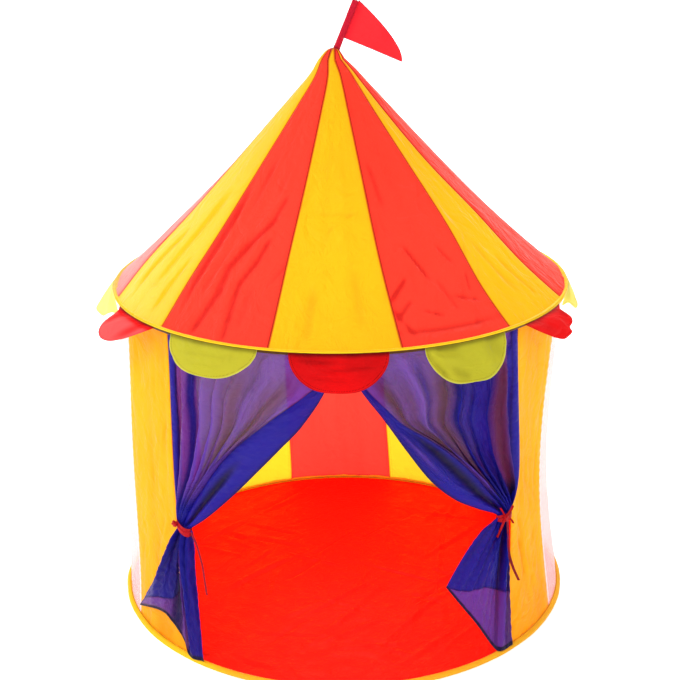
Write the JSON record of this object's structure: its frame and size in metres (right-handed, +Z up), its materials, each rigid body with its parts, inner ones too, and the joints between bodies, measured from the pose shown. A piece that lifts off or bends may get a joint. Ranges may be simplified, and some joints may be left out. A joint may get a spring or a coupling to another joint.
{
  "type": "pop-up circus play tent",
  "caption": "Round children's pop-up play tent like a big top: striped cone roof with scalloped flaps, panelled wall, tied-back door curtains, floor sheet and pennant.",
  "frame": {"origin": "centre of the floor sheet's underside, on the floor below the apex", "axes": "+Z up towards the apex, -Y out of the doorway, +X to the right of someone who faces the doorway from outside"},
  "size_m": [1.1286, 1.102, 1.3588],
  "materials": {
    "yellow_cloth": "thin plain-woven polyester, slight sheen",
    "red_cloth": "thin plain-woven polyester, slight sheen",
    "floor_cloth": "coated polyester groundsheet",
    "lemon_binding": "folded polyester tape",
    "lime_cloth": "thin plain-woven polyester",
    "blue_sheer": "sheer polyester with opaque hems",
    "net": "fine see-through netting",
    "red_ribbon": "satin ribbon",
    "flag_cloth": "polyester pennant",
    "hoop_wire": "spring steel wire",
    "stick": "plastic rod"
  },
  "bodies": {
    "root": {"apex_cap": "yellow_cloth", "back_centre_panel": "red_cloth", "back_panel_left": "yellow_cloth", "back_panel_right": "yellow_cloth", "base_hem": "lemon_binding", "base_hoop": "hoop_wire", "curtain_left": "blue_sheer", "curtain_right": "blue_sheer", "curtain_tie_left": "red_ribbon", "curtain_tie_right": "red_ribbon", "eave_binding": "lemon_binding", "eave_flap_01": "red_cloth", "eave_flap_02": "lime_cloth", "eave_flap_03": "red_cloth", "eave_flap_04": "lime_cloth", "eave_flap_05": "red_cloth", "eave_flap_06": "lime_cloth", "eave_flap_07": "red_cloth", "eave_flap_08": "lime_cloth", "eave_flap_09": "red_cloth", "eave_flap_10": "lime_cloth", "eave_flap_11": "red_cloth", "eave_flap_12": "lime_cloth", "eave_hoop": "hoop_wire", "flag_pennant": "flag_cloth", "flag_sleeve": "flag_cloth", "flag_stick": "stick", "floor_sheet": "floor_cloth", "front_panel_left": "yellow_cloth", "front_panel_right": "yellow_cloth", "net_window_left": "net", "net_window_right": "net", "red_panel_left": "red_cloth", "red_panel_right": "red_cloth", "roof_gore_01": "yellow_cloth", "roof_gore_02": "red_cloth", "roof_gore_03": "yellow_cloth", "roof_gore_04": "red_cloth", "roof_gore_05": "yellow_cloth", "roof_gore_06": "red_cloth", "roof_gore_07": "yellow_cloth", "roof_gore_08": "red_cloth", "roof_gore_09": "yellow_cloth", "roof_gore_10": "red_cloth", "roof_gore_11": "yellow_cloth", "roof_gore_12": "red_cloth", "tie_tail_left": "red_ribbon", "tie_tail_right": "red_ribbon"}
  },
  "joints": []
}
